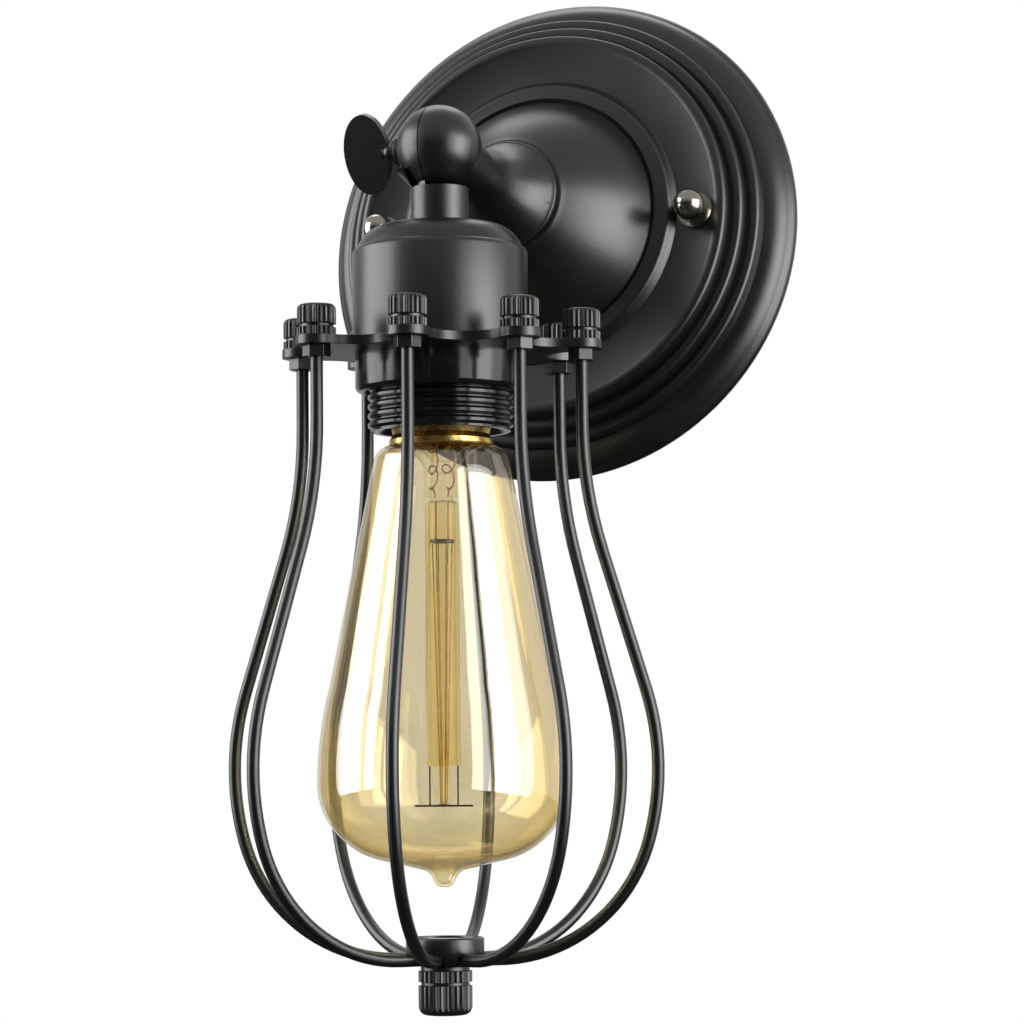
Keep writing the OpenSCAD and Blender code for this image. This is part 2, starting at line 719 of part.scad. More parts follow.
module bulb_glass() {
    inside = [for (p = reversed(inset(glass_outside, -glass_wall))) [max(p[0], 0), p[1]]];
    color("#e8c878", 0.35) in_head() rotate_extrude() polygon(concat(
        glass_outside, [[0, inside[0][1] + 0.4]], [for (i = [1 : len(inside) - 2]) inside[i]],
        [[cap_d / 2 - 0.4 - glass_wall, -cap_rim]]));
}

// A flared tube pinched flat at its lower end, from which a thin glass sleeve hangs round the strands
module bulb_stem() {
    pinch_w = 8.8;
    pinch_t = 3;
    color("#dfe6e6", 0.5) in_head() {
        rotate_extrude() polygon(curve([
            [0, -stem_bottom + flare_h + 3, 0], [2.6, -stem_bottom + flare_h + 3, 0], [cap_d / 2 - 2.4, -cap_rim, -1.2],
            [cap_d / 2 - 1.5, -cap_rim, 0], [3.6, -stem_bottom + flare_h, 1.2], [0, -stem_bottom + flare_h, 0]]));
        translate([-pinch_w / 2, -pinch_t / 2, -stem_bottom]) cube([pinch_w, pinch_t, flare_h + 1]);
        rotate_extrude() polygon(curve([
            [0, -stem_bottom + 0.6, 0], [0, -sleeve_top, 0], [sleeve_bore / 2 - 1, -sleeve_top, 0],
            [sleeve_bore / 2, -sleeve_top - 1, -0.3], [sleeve_bore / 2, -sleeve_bottom, 0], [sleeve_d / 2, -sleeve_bottom, 0],
            [sleeve_d / 2, -sleeve_top - 0.6, 0], [sleeve_d / 2 - 2, -stem_bottom + 0.6, -0.5]]));
    }
}

// The leads run from the pinch to the disc that carries the strands
module bulb_leads() {
    lead_r = 0.3;
    color("#a9744f") in_head() for (s = [-1, 1])
        translate([s * (filament_r - 0.8), 0, -carrier_z + fit])
            cylinder(h = carrier_z - sleeve_top - 2 * fit, r = lead_r, $fn = 16);
}

// How far below the disc a strand begins; the hook that holds it spans that length
function strand_drop(i) = hook_least + hook_spread * ((5 * i) % strands) / (strands - 1);

// The strands draw together on their way down from the disc to the cross wire
strand_top = carrier_z + disc_h;
strand_run = cross_z - disc_h - strand_top;
strand_lean = atan((filament_r - strand_foot_r) / strand_run);

module strand_line(from, to, r) {
    translate([filament_r - (to - strand_top) * tan(strand_lean), 0, -to]) rotate([0, strand_lean, 0])
        cylinder(h = (to - from) / cos(strand_lean), r = r, $fn = 12);
}

module filament_supports() {
    color("#6b665c") in_head() {
        translate([0, 0, -strand_top]) cylinder(h = disc_h, r = filament_r + 0.6);
        for (i = [0 : strands - 1]) rotate([0, 0, (i + 0.5) * 360 / strands])
            strand_line(carrier_z + disc_h / 2, strand_top + strand_drop(i), strand_d / 3);
        translate([0, 0, -cross_z]) {
            cylinder(h = disc_h / 2, r = strand_foot_r + 0.6);
            translate([-cross_l / 2, 0, 0]) rotate([0, 90, 0]) cylinder(h = cross_l, r = support_r, $fn = 16);
            for (s = [-1, 1]) translate([s * (sleeve_d + sleeve_bore) / 4, 0, 0])
                cylinder(h = cross_z - sleeve_bottom - fit, r = support_r - 0.04, $fn = 16);
        }
    }
}

module filament() {
    color("#d8a43a") in_head() for (i = [0 : strands - 1]) rotate([0, 0, (i + 0.5) * 360 / strands])
        strand_line(strand_top + strand_drop(i) + fit, cross_z - disc_h / 2 - fit, strand_d / 2);
}

canopy();
wall_bar();
bar_studs();
stud_lock_nuts();
ball_nuts();
ground_screw();
arm_tube();
arm_lock_nut();
arm_lock_washer();
swivel_fixed_half();
swivel_moving_half();
wing_screw();
spring_washer();
head_tube();
cup_lock_nut();
socket_cup();
socket_body();
screw_shell();
centre_contact();
terminal_screws();
shade_ring();
cage_plate();
cage_wires();
cage_cap_nuts();
cage_hex_nuts();
hub();
hub_screw();
hub_washer();
hub_nut();
bulb_cap();
bulb_insulator();
bulb_contact();
bulb_glass();
bulb_stem();
bulb_leads();
filament();
filament_supports();
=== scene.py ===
import json
from math import cos, pi, radians, sin

import bmesh
import bpy
from bpy.props import FloatProperty, FloatVectorProperty, PointerProperty
from mathutils import Matrix, Vector

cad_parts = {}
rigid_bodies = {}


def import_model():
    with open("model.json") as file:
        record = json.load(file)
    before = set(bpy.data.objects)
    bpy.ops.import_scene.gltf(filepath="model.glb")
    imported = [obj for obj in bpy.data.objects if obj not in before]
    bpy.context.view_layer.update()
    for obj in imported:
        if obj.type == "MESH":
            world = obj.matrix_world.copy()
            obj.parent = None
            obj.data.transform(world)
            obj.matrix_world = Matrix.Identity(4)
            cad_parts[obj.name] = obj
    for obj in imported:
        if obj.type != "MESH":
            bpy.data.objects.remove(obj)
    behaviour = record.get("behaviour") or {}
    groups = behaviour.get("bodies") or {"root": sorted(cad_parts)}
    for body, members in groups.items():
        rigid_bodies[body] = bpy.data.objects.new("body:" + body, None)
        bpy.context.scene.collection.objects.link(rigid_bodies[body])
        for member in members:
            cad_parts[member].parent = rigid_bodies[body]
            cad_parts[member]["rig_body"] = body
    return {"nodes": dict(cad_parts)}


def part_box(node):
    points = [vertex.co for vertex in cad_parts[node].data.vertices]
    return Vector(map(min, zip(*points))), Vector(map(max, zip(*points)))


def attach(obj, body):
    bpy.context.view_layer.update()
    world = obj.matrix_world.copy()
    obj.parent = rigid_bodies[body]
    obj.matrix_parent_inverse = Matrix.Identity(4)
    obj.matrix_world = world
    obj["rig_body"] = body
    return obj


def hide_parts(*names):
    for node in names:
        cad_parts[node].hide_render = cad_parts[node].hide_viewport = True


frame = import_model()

bl_info = {
    "name": "Cage wall light",
    "version": (1, 0, 0),
    "blender": (4, 5, 0),
    "location": "3D View > Sidebar > Wall light",
    "description": "Finishes the cage wall light's parts and sets up its studio",
    "category": "Object",
}

NODES = frame["nodes"]


# ---------------------------------------------------------------- shader nodes


def toned(colour, factor):
    """The same hue, lighter or darker."""
    return [factor * c for c in colour[:3]]


def rgba(colour):
    """A colour with full alpha. A Field that holds a colour stays as it is."""
    return colour if isinstance(colour, Field) else (*colour[:3], 1)


class Field:
    """A value that varies over a surface. Python's signs on it add Math nodes."""

    def __init__(self, nodes, socket):
        self.nodes, self.socket = nodes, socket

    def maths(self, operation, *values):
        """Adds one Math node on these values."""
        return self.nodes.add("ShaderNodeMath", {"operation": operation}, dict(enumerate(values)))

    def __add__(self, other):
        return self.maths("ADD", self, other)

    __radd__ = __add__

    def __sub__(self, other):
        return self.maths("SUBTRACT", self, other)

    def __rsub__(self, other):
        return self.maths("SUBTRACT", other, self)

    def __mul__(self, other):
        return self.maths("MULTIPLY", self, other)

    __rmul__ = __mul__

    def __pow__(self, other):
        return self.maths("POWER", self, other)

    def between(self, low, high, start=0.0, end=1.0):
        """Carries low..high over to start..end, and holds it there outside."""
        sockets = {"Value": self, "From Min": low, "From Max": high, "To Min": start, "To Max": end}
        return self.nodes.add("ShaderNodeMapRange", {"clamp": True}, sockets)


class Nodes:
    """The shader nodes of a material or of the room"""

    def __init__(self, owner):
        owner.use_nodes = True
        self.tree = owner.node_tree
        self.tree.nodes.clear()

    def add(self, kind, settings=None, sockets=None, out=0):
        """Adds a node of this kind: its settings first, then its sockets' values or links."""
        node = self.tree.nodes.new(kind)
        for name, value in (settings or {}).items():
            setattr(node, name, value)
        for name, value in (sockets or {}).items():
            if isinstance(value, Field):
                self.tree.links.new(value.socket, node.inputs[name])
            else:
                node.inputs[name].default_value = value
        return Field(self, node.outputs[out]) if node.outputs else None

    def axis(self, vector, name):
        """The X, Y or Z of a vector."""
        return self.add("ShaderNodeSeparateXYZ", {}, {"Vector": vector}, name)

    def on_ray(self, kind):
        """1 to rays of this kind, such as Camera or Glossy, and 0 to others."""
        return self.add("ShaderNodeLightPath", out=f"Is {kind} Ray")


class Finish(Nodes):
    """A material and the nodes of it"""

    octave_weight = 0.55  # how much each finer layer of the cloudy noise counts

    def __init__(self, name):
        self.material = bpy.data.materials.new(name)
        super().__init__(self.material)
        self.place = self.add("ShaderNodeTexCoord", out="Object")

    def noise(self, size, detail=3.0, stretch=None, distortion=0.0):
        """Cloudy noise whose clouds are about size metres across."""
        place = self.place
        if stretch:
            place = self.add("ShaderNodeMapping", {}, {"Vector": place, "Scale": stretch})
        sockets = {
            "Vector": place,
            "Scale": 1 / size,
            "Detail": detail,
            "Roughness": self.octave_weight,
            "Distortion": distortion,
        }
        return self.add("ShaderNodeTexNoise", {}, sockets)

    def cells(self, size, out="Distance"):
        """Voronoi cells about size metres across."""
        return self.add("ShaderNodeTexVoronoi", {}, {"Vector": self.place, "Scale": 1 / size}, out)

    def blend(self, share, first, second):
        """Mixes two colours by share."""
        a, b, result = 6, 7, 2  # a Mix node's sockets for colours, whose names its others share
        sockets = {"Factor": share, a: rgba(first), b: rgba(second)}
        return self.add("ShaderNodeMix", {"data_type": "RGBA"}, sockets, result)

    def bump(self, height, depth, strength):
        """A normal from a height field whose full range is depth metres."""
        sockets = {"Strength": strength, "Distance": depth, "Height": height}
        return self.add("ShaderNodeBump", {}, sockets)

    def shader(self, kind, **sockets):
        """A shader node. An underscore stands for a space in its sockets' names."""
        spaced = {name.replace("_", " "): value for name, value in sockets.items()}
        return self.add("ShaderNodeBsdf" + kind, {}, spaced)

    def mixed(self, share, first, second):
        """Mixes two shaders by share."""
        return self.add("ShaderNodeMixShader", {}, {0: share, 1: first, 2: second})

    def show(self, shader):
        """Ends the tree in this shader."""
        self.add("ShaderNodeOutputMaterial", {}, {"Surface": shader})
        return self.material

    def opaque(self, colour, roughness, normal, **constants):
        """Ends the tree in a Principled shader."""
        varying = {"Base_Color": rgba(colour), "Roughness": roughness, "Normal": normal}
        return self.show(self.shader("Principled", **varying, **constants))


# ---------------------------------------------------------------- finishes


def satin_paint(settings):
    """Satin black paint on steel: a fine orange peel, faint cloudiness and a few dust nibs."""
    f = Finish("satin_black_paint")
    peel = f.noise(0.0011, detail=2)
    cloud = f.noise(0.018, detail=4)
    grain = f.noise(0.00025, detail=2)
    nibs = f.cells(0.006).between(0.0, 0.045, 1, 0)
    colour = f.blend(cloud.between(0.35, 0.65), settings.paint, toned(settings.paint, 1.35))
    roughness = settings.paint_roughness + (cloud - 0.5) * 0.10 + (grain - 0.5) * 0.08 - nibs * 0.05
    normal = f.bump(peel + grain * 0.25 + nibs * 0.7, depth=0.000035, strength=0.6)
    return f.opaque(colour, roughness, normal, Specular_IOR_Level=1.0)


def zinc_plate(settings):
    """Bright zinc plating on pressed steel: soft spangles, rolling lines and a yellow bloom."""
    yellowed = (0.66, 0.62, 0.50)
    f = Finish("zinc_plate")
    spangle = f.cells(0.0045, out="Color")
    shade = f.add("ShaderNodeSeparateColor", {}, {"Color": spangle})
    lines = f.noise(0.0006, detail=2, stretch=(0.04, 1, 1))
    cloud = f.noise(0.02)
    spangled = f.blend(shade, settings.zinc, toned(settings.zinc, 0.86))
    colour = f.blend(cloud.between(0.4, 0.75, 0, 0.35), spangled, yellowed)
    roughness = 0.34 + (shade - 0.5) * 0.10 + (lines - 0.5) * 0.12
    normal = f.bump(lines, depth=0.00003, strength=0.35)
    return f.opaque(colour, roughness, normal, Metallic=1.0)


def dark_nickel_plate(settings):
    """Polished dark nickel with fine hairline scratches."""
    f = Finish("dark_nickel_plate")
    cloud = f.noise(0.004)
    hair = f.noise(0.0004, detail=4, stretch=(1, 1, 0.08), distortion=0.6)
    colour = f.blend(cloud.between(0.35, 0.7), settings.nickel, toned(settings.nickel, 1.3))
    roughness = 0.13 + hair.between(0.45, 0.75) * 0.10 + cloud * 0.04
    normal = f.bump(hair, depth=0.00001, strength=0.25)
    return f.opaque(colour, roughness, normal, Metallic=1.0)


def ground_green(settings):
    """Green lacquered earth screw, with the steel shining through."""
    f = Finish("ground_green")
    cloud = f.noise(0.002)
    colour = f.blend(cloud.between(0.35, 0.7), settings.green, toned(settings.green, 0.7))
    normal = f.bump(cloud, depth=0.00003, strength=0.4)
    return f.opaque(colour, 0.28 + cloud * 0.12, normal, Metallic=0.85)


def turned_steel(settings):
    """Plain turned steel with fine tool lines and a thin oil bloom."""
    f = Finish("turned_steel")
    lines = f.noise(0.00035, detail=3, stretch=(0.15, 0.15, 1))
    bloom = f.noise(0.006)
    colour = f.blend(bloom.between(0.4, 0.75), settings.steel, toned(settings.steel, 0.72))
    roughness = 0.26 + (lines - 0.5) * 0.14 + bloom * 0.08
    normal = f.bump(lines, depth=0.00002, strength=0.5)
    return f.opaque(colour, roughness, normal, Metallic=1.0)


def glossy_phenolic(settings):
    """Moulded black phenolic: a deep gloss with faint flow marks."""
    f = Finish("glossy_phenolic")
    flow = f.noise(0.012, detail=5, distortion=1.4)
    pits = f.noise(0.0005, detail=2)
    colour = f.blend(flow.between(0.4, 0.65), settings.phenolic, toned(settings.phenolic, 1.6))
    roughness = settings.phenolic_roughness + flow.between(0.35, 0.75) * 0.10 + pits * 0.03
    normal = f.bump(flow + pits * 0.1, depth=0.00004, strength=0.35)
    return f.opaque(colour, roughness, normal, Specular_IOR_Level=0.62)


def pressed_brass(settings):
    """Pressed brass, slightly tarnished in patches."""
    f = Finish("pressed_brass")
    tarnish = f.noise(0.003, detail=5)
    grain = f.noise(0.0003, detail=2)
    colour = f.blend(tarnish.between(0.45, 0.7), settings.brass, toned(settings.brass, 0.6))
    roughness = 0.24 + tarnish.between(0.4, 0.75) * 0.16 + grain * 0.06
    normal = f.bump(tarnish, depth=0.00003, strength=0.4)
    return f.opaque(colour, roughness, normal, Metallic=1.0)


def cap_gold_brass(settings):
    """The bulb cap's golden brass, mottled by its lacquer."""
    mottled = (0.42, 0.23, 0.05)
    f = Finish("cap_gold_brass")
    mottle = f.noise(0.0022, detail=5, distortion=0.8)
    grain = f.noise(0.0003, detail=2)
    colour = f.blend(mottle.between(0.42, 0.62), settings.cap, mottled)
    roughness = 0.20 + mottle.between(0.4, 0.7) * 0.15 + grain * 0.05
    normal = f.bump(mottle, depth=0.00006, strength=0.5)
    return f.opaque(colour, roughness, normal, Metallic=1.0)


def black_vitrite():
    """The bulb cap's black glass insulator, with paler swirls."""
    black, swirled = (0.012, 0.012, 0.015), (0.035, 0.032, 0.04)
    f = Finish("black_vitrite")
    swirl = f.noise(0.004, detail=3, distortion=1.0)
    colour = f.blend(swirl.between(0.4, 0.7), black, swirled)
    return f.opaque(colour, 0.07 + swirl * 0.08, f.bump(swirl, depth=0.00008, strength=0.5))


def solder_tin():
    """Soldered tin, dull in patches."""
    bright, dull = (0.78, 0.78, 0.77), (0.52, 0.52, 0.53)
    f = Finish("solder_tin")
    ripple = f.noise(0.0012, detail=4)
    colour = f.blend(ripple.between(0.35, 0.7), bright, dull)
    normal = f.bump(ripple, depth=0.0001, strength=0.7)
    return f.opaque(colour, 0.22 + ripple * 0.2, normal, Metallic=1.0)


def drawn_wire(name, colour, roughness=0.3, metallic=1.0):
    """Fine drawn wire with a faint grain and slight discoloration."""
    f = Finish(name)
    tone = f.noise(0.003, detail=3)
    stained = f.blend(tone.between(0.35, 0.7), colour, toned(colour, 0.65))
    normal = f.bump(f.noise(0.0002), depth=0.00001, strength=0.4)
    return f.opaque(stained, roughness + (tone - 0.5) * 0.2, normal, Metallic=metallic)


def see_through(f, tint, dense, depth, shine, normal, roughness, least=0.0):
    """Ends a glass's tree.

    The glass tints what is behind it, from tint towards dense by depth, and more so where it is
    seen aslant, but by no less than the share least. It mirrors by shine, and most at its edges.
    """
    aslant = f.add("ShaderNodeLayerWeight", {}, {"Blend": 0.5, "Normal": normal}, "Facing")
    thin = f.shader("Transparent", Color=rgba(tint))
    thick = f.shader("Transparent", Color=rgba(dense))
    body = f.mixed(depth * aslant.between(0.1, 0.95, least, 1), thin, thick)
    gloss = f.shader("Glossy", Color=(1, 1, 1, 1), Roughness=roughness, Normal=normal)
    return f.show(f.mixed(shine + aslant ** 5.0 * (1 - shine), body, gloss))


def amber_glass(settings):
    """Blown amber glass, a little wavy, with denser streaks along it."""
    f = Finish("amber_glass")
    normal = f.bump(f.noise(0.03, detail=2), depth=0.0006, strength=0.3)
    streak = f.noise(0.02, detail=3, stretch=(1, 1, 0.25)).between(0.3, 0.7, 0.75, 1)
    tint, dense, shine = settings.glass_tint, settings.glass_edge, settings.glass_shine
    return see_through(f, tint, dense, streak, shine, normal, roughness=0.03)


def stem_glass(settings):
    """Stem glass with a soft ripple: nearly clear at the pinch, and golden along the sleeve."""
    sleeve_foot, sleeve_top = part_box("bulb_stem")[0][2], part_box("bulb_leads")[0][2]
    foot_fade, top_fade = 0.020, 0.012
    foot_gold, pinch_gold = 0.7, 0.25
    shine = 0.02
    f = Finish("stem_glass")
    ripple = f.noise(0.004, detail=3, distortion=0.6)
    normal = f.bump(ripple, depth=0.0002, strength=0.5)
    height = f.axis(f.place, "Z")
    to_pinch = height.between(sleeve_top, sleeve_top + top_fade, 1, pinch_gold)
    from_foot = height.between(sleeve_foot, sleeve_foot + foot_fade, foot_gold, 1)
    gold = to_pinch * from_foot * (0.8 + ripple * 0.2)
    tint, dense = settings.stem_tint, settings.stem_edge
    return see_through(f, tint, dense, gold, shine, normal, roughness=0.06, least=0.5)


# ---------------------------------------------------------------- pieces

WELD = 2e-6  # vertices closer than this are one
FLAT = radians(0.6)  # faces that turn by less than this are one flat
CREASE = radians(30)  # an edge that turns by more than this stays sharp
BULB_LEAN = radians(8)  # how far the hanging bulb's axis leans towards the wall


def placed(name, data):
    """A new object with this data, in the scene."""
    new = bpy.data.objects.new(name, data)
    bpy.context.scene.collection.objects.link(new)
    return new


def dressed(material, names, edge=0.0):
    """Puts a finished copy in the place of each CAD node.

    The copy's vertices are welded, and it is smooth between creases. A bevel breaks the creases
    where an edge is given, which is the bevel's width.
    """
    for name in names:
        mesh = NODES[name].data.copy()
        mesh.name = name + "_dressed"
        if "custom_normal" in mesh.attributes:  # made for the loose triangles, wrong once welded
            mesh.attributes.remove(mesh.attributes["custom_normal"])
        form = bmesh.new()
        form.from_mesh(mesh)
        bmesh.ops.remove_doubles(form, verts=form.verts, dist=WELD)
        if edge:
            bmesh.ops.dissolve_limit(form, angle_limit=FLAT, verts=form.verts, edges=form.edges)
        form.to_mesh(mesh)
        form.free()
        mesh.materials.clear()
        mesh.materials.append(material)
        mesh.shade_smooth()
        mesh.set_sharp_from_angle(angle=CREASE)
        piece = placed(name + "_dressed", mesh)
        if edge:
            bevel = piece.modifiers.new("broken_edges", "BEVEL")
            bevel.width, bevel.segments, bevel.harden_normals = edge, 2, True
            bevel.limit_method, bevel.angle_limit = "ANGLE", CREASE
        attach(piece, NODES[name]["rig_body"])
        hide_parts(name)


def cap_wires(material, wire):
    """Two copper wires that curl through the stem's pinch and up into the cap."""
    steps, curls = 72, 3.5
    start, climb, bob = 0.001, 0.017, 0.0022  # along the bulb's axis, from the leads' top
    apart, swing = 0.0022, 0.0016  # to either side of the axis
    sway, sway_rate = 0.0009, 0.7  # ahead of the axis and behind it
    low, high = (Vector(corner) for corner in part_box("bulb_leads"))
    pinch = Vector((0, low.y, high.z))
    down = Vector((0, sin(BULB_LEAN), -cos(BULB_LEAN)))
    ahead = Vector((0, down.z, -down.y))
    curves = bpy.data.curves.new("cap_wires", "CURVE")
    curves.dimensions, curves.bevel_depth, curves.bevel_resolution = "3D", wire / 2, 2
    curves.use_fill_caps = True
    for side in (-1, 1):
        spline = curves.splines.new("POLY")
        spline.points.add(steps)
        for i in range(steps + 1):
            t = i / steps
            turn, width = 2 * pi * curls * t, sin(pi * t)
            rise = start + climb * t + bob * sin(turn) * width
            out = side * apart + swing * cos(turn) * width
            deep = sway * side * cos(turn * sway_rate)
            spot = pinch - down * rise + Vector((out, 0, 0)) + ahead * deep
            spline.points[i].co = (*spot, 1)
    curves.materials.append(material)
    piece = placed("cap_wires", curves)
    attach(piece, "bulb")


# ---------------------------------------------------------------- settings


def length_setting(name, description, default):
    return FloatProperty(
        name=name, description=description, default=default, unit="LENGTH", precision=5
    )


def colour_setting(name, description, default):
    return FloatVectorProperty(
        name=name, description=description, default=default, subtype="COLOR", size=3, min=0, max=1
    )


def share_setting(name, description, default):
    return FloatProperty(
        name=name, description=description, default=default, subtype="FACTOR", min=0, max=1
    )


def power_setting(name, description, default):
    return FloatProperty(name=name, description=description, default=default, unit="POWER")


class MetalSettings(bpy.types.PropertyGroup):
    """Finishes of the painted and plated metal"""

    paint: colour_setting("Paint", "Colour of the satin black paint", (0.0024, 0.0024, 0.0026))
    paint_roughness: share_setting("Paint roughness", "How dull the black paint is", 0.33)
    zinc: colour_setting("Zinc", "Colour of the wall bar's plating", (0.62, 0.63, 0.64))
    nickel: colour_setting("Ball nuts", "Colour of the dark nickel ball nuts", (0.40, 0.38, 0.33))
    green: colour_setting("Earth screw", "Colour of the earth screw", (0.03, 0.32, 0.10))
    steel: colour_setting("Steel", "Colour of plain turned steel", (0.50, 0.51, 0.52))
    brass: colour_setting("Brass", "Colour of the lampholder's contacts", (0.78, 0.56, 0.26))
    edge: length_setting("Broken edge", "Width of the bevel on sharp metal edges", 0.0002)


class HolderSettings(bpy.types.PropertyGroup):
    """Finish of the lampholder"""

    phenolic: colour_setting("Phenolic", "Colour of the body and ring", (0.004, 0.004, 0.0045))
    phenolic_roughness: share_setting("Phenolic roughness", "How dull the phenolic is", 0.12)


class BulbSettings(bpy.types.PropertyGroup):
    """Sizes and colours of the bulb"""

    glass_tint: colour_setting(
        "Amber glass", "What one face of the glass lets through head on", (0.99, 0.95, 0.835)
    )
    glass_edge: colour_setting(
        "Amber edge", "What one face of the glass lets through at its edges", (0.95, 0.86, 0.62)
    )
    glass_shine: share_setting(
        "Glass shine", "Share of light that one face of the glass mirrors head on", 0.14
    )
    stem_tint: colour_setting(
        "Stem glass", "What one face of the stem lets through, where clear", (0.995, 0.985, 0.95)
    )
    stem_edge: colour_setting(
        "Stem gold", "What one face of the stem lets through, where golden", (0.97, 0.89, 0.58)
    )
    cap: colour_setting("Cap", "Colour of the screw cap", (0.85, 0.62, 0.22))
    cap_wire: length_setting("Cap wires", "Thickness of the copper wires in the neck", 0.0005)
    strand: colour_setting("Filament", "Colour of the filament strands", (1.0, 0.74, 0.22))


class StageSettings(bpy.types.PropertyGroup):
    """The studio: camera, lamps and floor"""

    lens: FloatProperty(
        name="Lens", description="Focal length on a 36 mm sensor", default=116.51, unit="CAMERA"
    )
    floor_drop: length_setting("Floor", "How far the floor lies below the canopy's centre", 0.55)
    floor: colour_setting("Floor colour", "Colour of the floor", (0.80, 0.80, 0.79))
    left_power: power_setting("Left lamp", "Power of the softbox on the left", 14.0)
    right_power: power_setting("Right lamp", "Power of the softbox on the right", 10.5)
    core_power: power_setting("Right core", "Power of the right softbox's bright middle", 5.0)
    top_power: power_setting("Top lamp", "Power of the softbox above and behind", 2.0)
    low_shade: share_setting("Low room", "How light the low room is in reflections", 0.02)
    fill: share_setting("Fill", "Even light from all round", 0.15)


# ---------------------------------------------------------------- studio

LAMP_AIM = Vector((0, -0.07, -0.07))  # the middle of the wall light
FLOOR_RADIUS, FLOOR_SIDES = 4, 96
CAMERA_SPOT = Vector((0.34189, -0.82681, -0.26673))
CAMERA_TURN, CAMERA_RISE, CAMERA_ROLL = radians(23.186), radians(11.924), radians(2.621)


def softbox(name, power, azimuth, elevation, distance, size):
    """A soft rectangular lamp that faces the wall light.

    Its azimuth is 0 in the room ahead of the wall light and 90 on the right.
    """
    lamp = bpy.data.lights.new(name, "AREA")
    lamp.shape, lamp.size, lamp.size_y, lamp.energy = "RECTANGLE", *size, power
    hung = placed(name, lamp)
    a, e = radians(azimuth), radians(elevation)
    away = Vector((sin(a) * cos(e), -cos(a) * cos(e), sin(e)))
    hung.location = LAMP_AIM + away * distance
    hung.rotation_mode = "QUATERNION"
    hung.rotation_quaternion = (-away).to_track_quat("-Z", "Y")


def hang_lamps(stage):
    """A softbox on each side, the right one with a brighter core, and one above and behind."""
    softbox(
        "left_softbox", stage.left_power, azimuth=-66, elevation=10, distance=1.2, size=(1.08, 1.15)
    )
    softbox(
        "right_softbox", stage.right_power, azimuth=81, elevation=5, distance=1.2, size=(1.5, 1.1)
    )
    softbox(
        "right_core", stage.core_power, azimuth=80, elevation=3, distance=1.15, size=(0.6, 0.9)
    )
    softbox(
        "top_softbox", stage.top_power, azimuth=-150, elevation=62, distance=1.3, size=(0.8, 0.5)
    )


def pale_floor(stage):
    """Matt floor paint that the camera sees evenly pale, with its shadows.

    In reflections the floor is nearly black.
    """
    black, even_tone, evenness = (0, 0, 0), (0.93, 0.93, 0.925), 0.7
    f = Finish("pale_floor")
    cloud = f.noise(0.4, detail=4)
    tone = f.blend(cloud.between(0.35, 0.65), stage.floor, toned(stage.floor, 0.96))
    tone = f.blend(f.on_ray("Glossy") * (1 - stage.low_shade), tone, black)
    normal = f.bump(f.noise(0.004), depth=0.0002, strength=0.3)
    lit = f.shader("Principled", Base_Color=tone, Roughness=0.75 + cloud * 0.1, Normal=normal)
    even = f.add("ShaderNodeEmission", {}, {"Color": rgba(even_tone)})
    return f.show(f.mixed(f.on_ray("Camera") * evenness, lit, even))


def lay_floor(stage):
    """A round floor below the wall light."""
    form = bmesh.new()
    bmesh.ops.create_circle(form, cap_ends=True, segments=FLOOR_SIDES, radius=FLOOR_RADIUS)
    bmesh.ops.translate(form, vec=(0, 0, -stage.floor_drop), verts=form.verts)
    mesh = bpy.data.meshes.new("floor")
    form.to_mesh(mesh)
    form.free()
    mesh.materials.append(pale_floor(stage))
    placed("floor", mesh)


def set_room(stage):
    """A room that is white to the camera and through glass, and gives an even fill of light.

    In reflections it is dark below the horizon, grey above it, and lighter on the wall's side.
    """
    horizon, high, grey_above = 0.0, 0.6, 0.45
    side, back, wall_side = 0.25, 0.75, 0.5
    world = bpy.data.worlds.new("studio_room")
    bpy.context.scene.world = world
    room = Nodes(world)
    camera_ray, through_glass = room.on_ray("Camera"), room.on_ray("Transmission")
    mirrored = room.on_ray("Glossy")
    direction = room.add("ShaderNodeTexCoord", out="Generated")
    upper = room.axis(direction, "Z").between(horizon, high, stage.low_shade, grey_above)
    behind = room.axis(direction, "Y").between(side, back, 0, wall_side)
    seen = camera_ray.maths("MAXIMUM", camera_ray, through_glass)
    other = mirrored * (upper + behind) + (1 - mirrored) * stage.fill
    strength = seen + (1 - seen) * other
    sockets = {"Color": (1, 1, 1, 1), "Strength": strength}
    background = room.add("ShaderNodeBackground", {}, sockets)
    room.add("ShaderNodeOutputWorld", {}, {"Surface": background})


def set_camera(stage):
    """The camera at the photograph's viewpoint, with its turn, rise and roll."""
    camera = bpy.data.cameras.new("camera")
    camera.sensor_width, camera.lens = 36, stage.lens
    camera.clip_start, camera.clip_end = 0.01, 50
    out = cos(CAMERA_RISE)
    ahead = Vector((-sin(CAMERA_TURN) * out, cos(CAMERA_TURN) * out, sin(CAMERA_RISE)))
    level = Vector((cos(CAMERA_TURN), sin(CAMERA_TURN), 0))
    above = level.cross(ahead)
    right = level * cos(CAMERA_ROLL) + above * sin(CAMERA_ROLL)
    up = above * cos(CAMERA_ROLL) - level * sin(CAMERA_ROLL)
    facing = Matrix((right, up, -ahead)).transposed().to_4x4()
    stand = placed("camera", camera)
    stand.matrix_world = Matrix.Translation(CAMERA_SPOT) @ facing
    bpy.context.scene.camera = stand
    bpy.context.scene.view_settings.view_transform = "Standard"


# ---------------------------------------------------------------- operators


def black_paint(context):
    """The satin black paint that many pieces share."""
    paint = bpy.data.materials.get("satin_black_paint")
    return paint or satin_paint(context.scene.wall_light_metal)


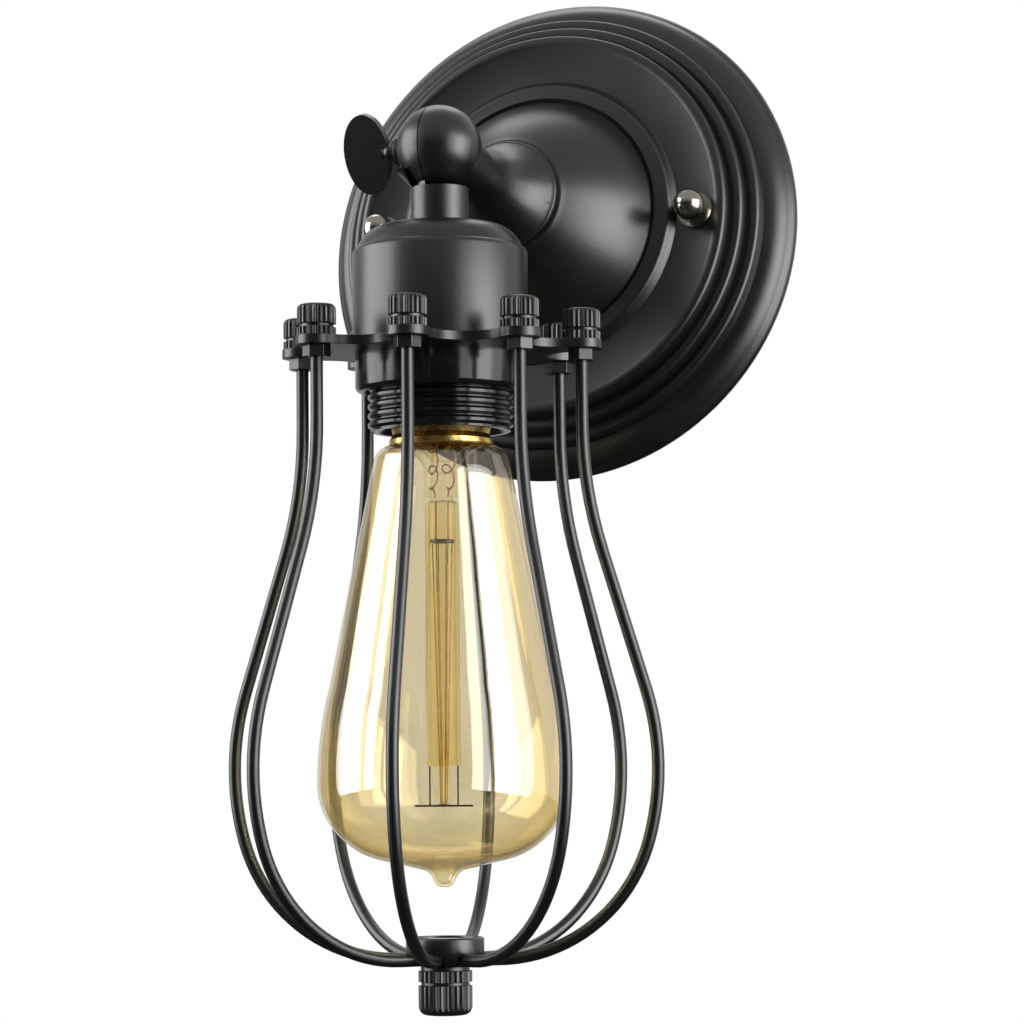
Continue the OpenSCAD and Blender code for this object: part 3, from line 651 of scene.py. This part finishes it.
class WALLLIGHT_OT_canopy(bpy.types.Operator):
    """Finish the canopy, its wall bar and the fixings between them"""

    bl_idname = "wall_light.canopy"
    bl_label = "Canopy and wall bar"

    def execute(self, context):
        metal = context.scene.wall_light_metal
        dressed(black_paint(context), ["canopy"])
        zinc = zinc_plate(metal)
        dressed(zinc, ["wall_bar", "stud_lock_nuts", "arm_lock_washer"], edge=metal.edge)
        dressed(zinc, ["bar_studs"])
        dressed(dark_nickel_plate(metal), ["ball_nuts"])
        dressed(ground_green(metal), ["ground_screw"], edge=metal.edge)
        return {"FINISHED"}


class WALLLIGHT_OT_arm(bpy.types.Operator):
    """Finish the arm, the swivel, its wing screw and the turned steel"""

    bl_idname = "wall_light.arm"
    bl_label = "Arm and swivel"

    def execute(self, context):
        metal = context.scene.wall_light_metal
        painted = ["swivel_fixed_half", "swivel_moving_half", "wing_screw", "spring_washer"]
        turned = ["arm_tube", "arm_lock_nut", "head_tube", "cup_lock_nut", "hub_screw"]
        dressed(black_paint(context), painted, edge=metal.edge)
        dressed(turned_steel(metal), turned)
        return {"FINISHED"}


class WALLLIGHT_OT_lampholder(bpy.types.Operator):
    """Finish the cup, the lampholder body, its ring and its contacts"""

    bl_idname = "wall_light.lampholder"
    bl_label = "Lampholder"

    def execute(self, context):
        contacts = ["screw_shell", "centre_contact", "terminal_screws"]
        dressed(black_paint(context), ["socket_cup"])
        dressed(glossy_phenolic(context.scene.wall_light_holder), ["socket_body", "shade_ring"])
        dressed(pressed_brass(context.scene.wall_light_metal), contacts)
        return {"FINISHED"}


class WALLLIGHT_OT_cage(bpy.types.Operator):
    """Finish the cage: its plate, wires, nuts and bottom hub"""

    bl_idname = "wall_light.cage"
    bl_label = "Cage"

    def execute(self, context):
        paint = black_paint(context)
        edge = context.scene.wall_light_metal.edge
        dressed(paint, ["cage_plate", "cage_hex_nuts", "hub", "hub_washer"], edge=edge)
        dressed(paint, ["cage_wires", "cage_cap_nuts", "hub_nut"])
        return {"FINISHED"}


class WALLLIGHT_OT_bulb(bpy.types.Operator):
    """Finish the bulb: its glass, cap, stem, leads and filament"""

    bl_idname = "wall_light.bulb"
    bl_label = "Bulb"

    def execute(self, context):
        copper_brown, oxide_grey = (0.80, 0.46, 0.28), (0.10, 0.09, 0.08)
        bulb = context.scene.wall_light_bulb
        dressed(amber_glass(bulb), ["bulb_glass"])
        dressed(stem_glass(bulb), ["bulb_stem"])
        dressed(cap_gold_brass(bulb), ["bulb_cap"])
        dressed(black_vitrite(), ["bulb_insulator"])
        dressed(solder_tin(), ["bulb_contact"])
        copper = drawn_wire("copper_wire", copper_brown, roughness=0.45, metallic=0.6)
        dressed(copper, ["bulb_leads"])
        cap_wires(copper, bulb.cap_wire)
        gold = drawn_wire("filament_gold", bulb.strand, roughness=0.4, metallic=0.2)
        dressed(gold, ["filament"])
        dressed(drawn_wire("support_wire", oxide_grey), ["filament_supports"])
        return {"FINISHED"}


class WALLLIGHT_OT_stage(bpy.types.Operator):
    """Lay the floor, hang the lamps and set up the room and the camera"""

    bl_idname = "wall_light.stage"
    bl_label = "Studio"

    def execute(self, context):
        stage = context.scene.wall_light_stage
        lay_floor(stage)
        hang_lamps(stage)
        set_room(stage)
        set_camera(stage)
        return {"FINISHED"}


class WALLLIGHT_PT_parts(bpy.types.Panel):
    """The pieces of the wall light and its studio"""

    bl_label = "Cage wall light"
    bl_idname = "WALLLIGHT_PT_parts"
    bl_space_type = "VIEW_3D"
    bl_region_type = "UI"
    bl_category = "Wall light"

    def draw(self, context):
        for operator in OPERATORS:
            self.layout.operator(operator.bl_idname)
        for name in SETTINGS:
            group = getattr(context.scene, name)
            box = self.layout.box()
            for key in group.__annotations__:
                box.prop(group, key)


OPERATORS = (
    WALLLIGHT_OT_canopy,
    WALLLIGHT_OT_arm,
    WALLLIGHT_OT_lampholder,
    WALLLIGHT_OT_cage,
    WALLLIGHT_OT_bulb,
    WALLLIGHT_OT_stage,
)
SETTINGS = {
    "wall_light_metal": MetalSettings,
    "wall_light_holder": HolderSettings,
    "wall_light_bulb": BulbSettings,
    "wall_light_stage": StageSettings,
}


def register():
    for name, group in SETTINGS.items():
        bpy.utils.register_class(group)
        setattr(bpy.types.Scene, name, PointerProperty(type=group))
    for operator in OPERATORS:
        bpy.utils.register_class(operator)
    bpy.utils.register_class(WALLLIGHT_PT_parts)


def unregister():
    bpy.utils.unregister_class(WALLLIGHT_PT_parts)
    for operator in reversed(OPERATORS):
        bpy.utils.unregister_class(operator)
    for name, group in reversed(SETTINGS.items()):
        delattr(bpy.types.Scene, name)
        bpy.utils.unregister_class(group)


def main():
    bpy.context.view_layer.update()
    register()
    for operator in OPERATORS:
        group, name = operator.bl_idname.split(".")
        getattr(getattr(bpy.ops, group), name)()


if __name__ == "__main__":
    main()
